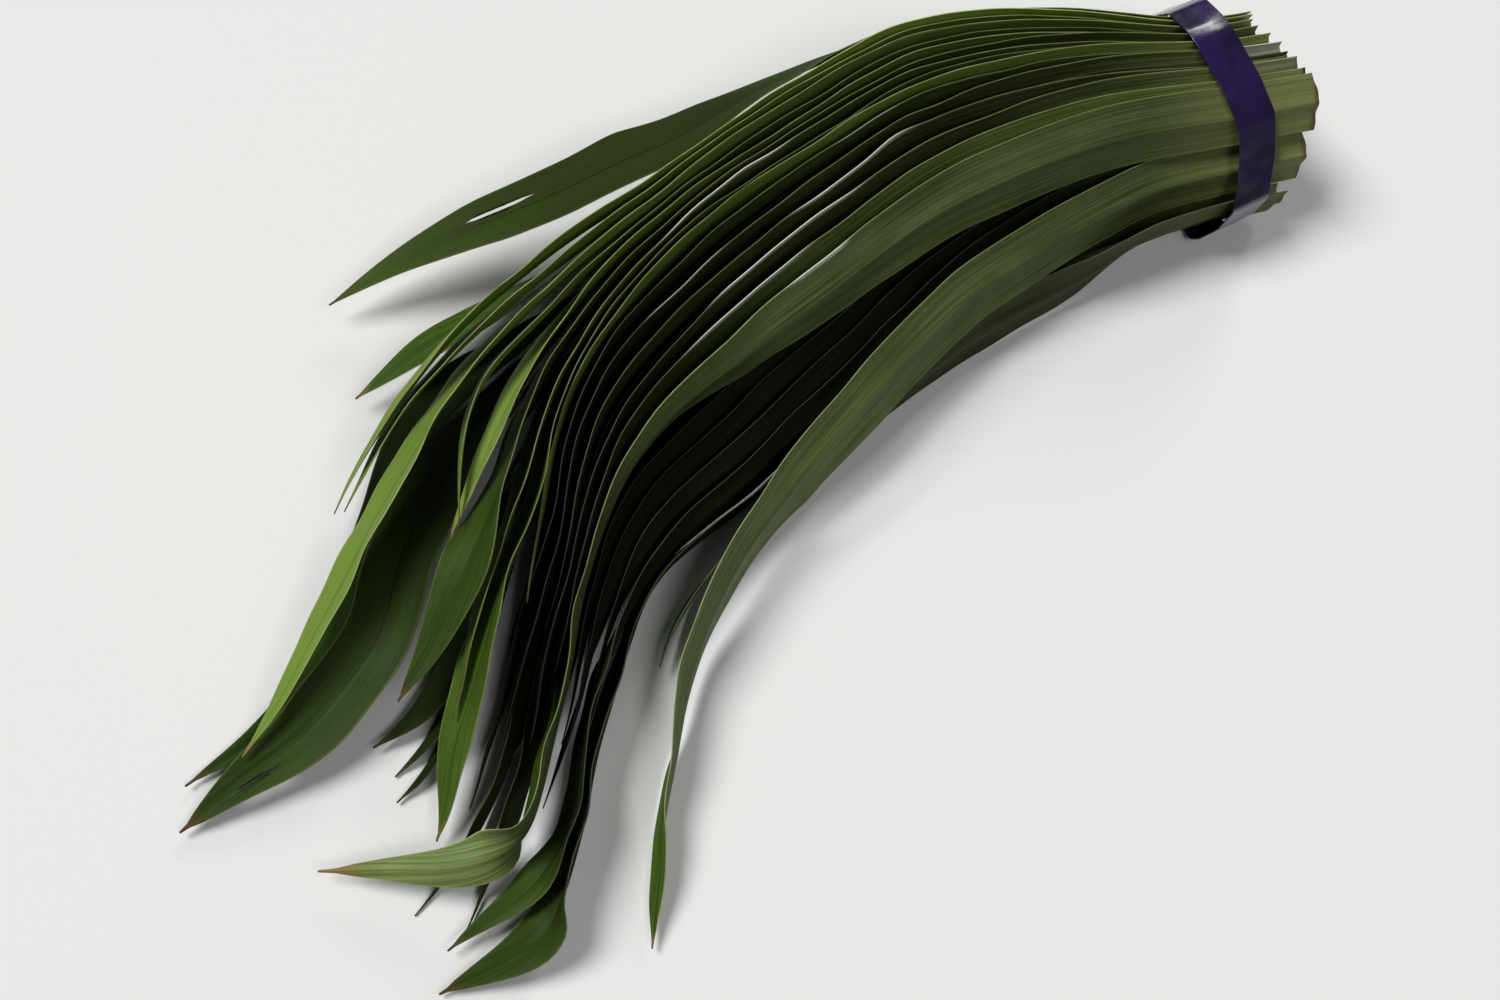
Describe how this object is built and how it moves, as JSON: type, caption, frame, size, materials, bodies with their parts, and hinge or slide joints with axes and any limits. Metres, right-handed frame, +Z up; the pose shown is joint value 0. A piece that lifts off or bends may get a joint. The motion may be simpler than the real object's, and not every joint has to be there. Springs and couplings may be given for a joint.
{
  "type": "pandan leaf bunch",
  "caption": "Bunch of long strap-shaped pandan leaves stacked on edge and fanning out in an arc, tied near the cut ends with a flat plastic band; it lies on a surface.",
  "frame": {"origin": "on the table, under the middle of the bounding box", "axes": "+X towards the cut ends along the longest extent, +Y towards the outer side of the bend, +Z up"},
  "size_m": [0.4978, 0.4236, 0.072],
  "materials": {
    "leaf_green": "waxy satin upper leaf surface",
    "leaf_underside": "matt pale leaf underside",
    "band_film": "glossy printed film"
  },
  "bodies": {
    "root": {"fan_01": "leaf_green", "fan_02": "leaf_green", "fan_03": "leaf_green", "fan_04": "leaf_green", "fan_05": "leaf_green", "fan_06": "leaf_green", "fan_07": "leaf_green", "fan_08": "leaf_green", "fan_09": "leaf_green", "fan_10": "leaf_green", "fan_11": "leaf_green", "fan_12": "leaf_green", "fan_13": "leaf_green", "fan_14": "leaf_green", "fan_15": "leaf_green", "fan_16": "leaf_green", "fan_17": "leaf_green", "fan_18": "leaf_green", "fan_19": "leaf_green", "fan_20": "leaf_underside", "shoulder_01": "leaf_green", "shoulder_02": "leaf_green", "shoulder_03": "leaf_green", "shoulder_04": "leaf_green", "shoulder_05": "leaf_underside", "floor_01": "leaf_green", "floor_02": "leaf_green", "floor_03": "leaf_green", "floor_04": "leaf_green", "floor_05": "leaf_green", "floor_06": "leaf_green", "floor_07": "leaf_green", "floor_08": "leaf_green", "floor_09": "leaf_green", "floor_10": "leaf_green", "floor_11": "leaf_green", "floor_12": "leaf_green", "floor_13": "leaf_green", "floor_14": "leaf_green", "floor_15": "leaf_green", "floor_16": "leaf_green", "floor_17": "leaf_green", "floor_18": "leaf_underside", "band": "band_film"}
  },
  "joints": []
}
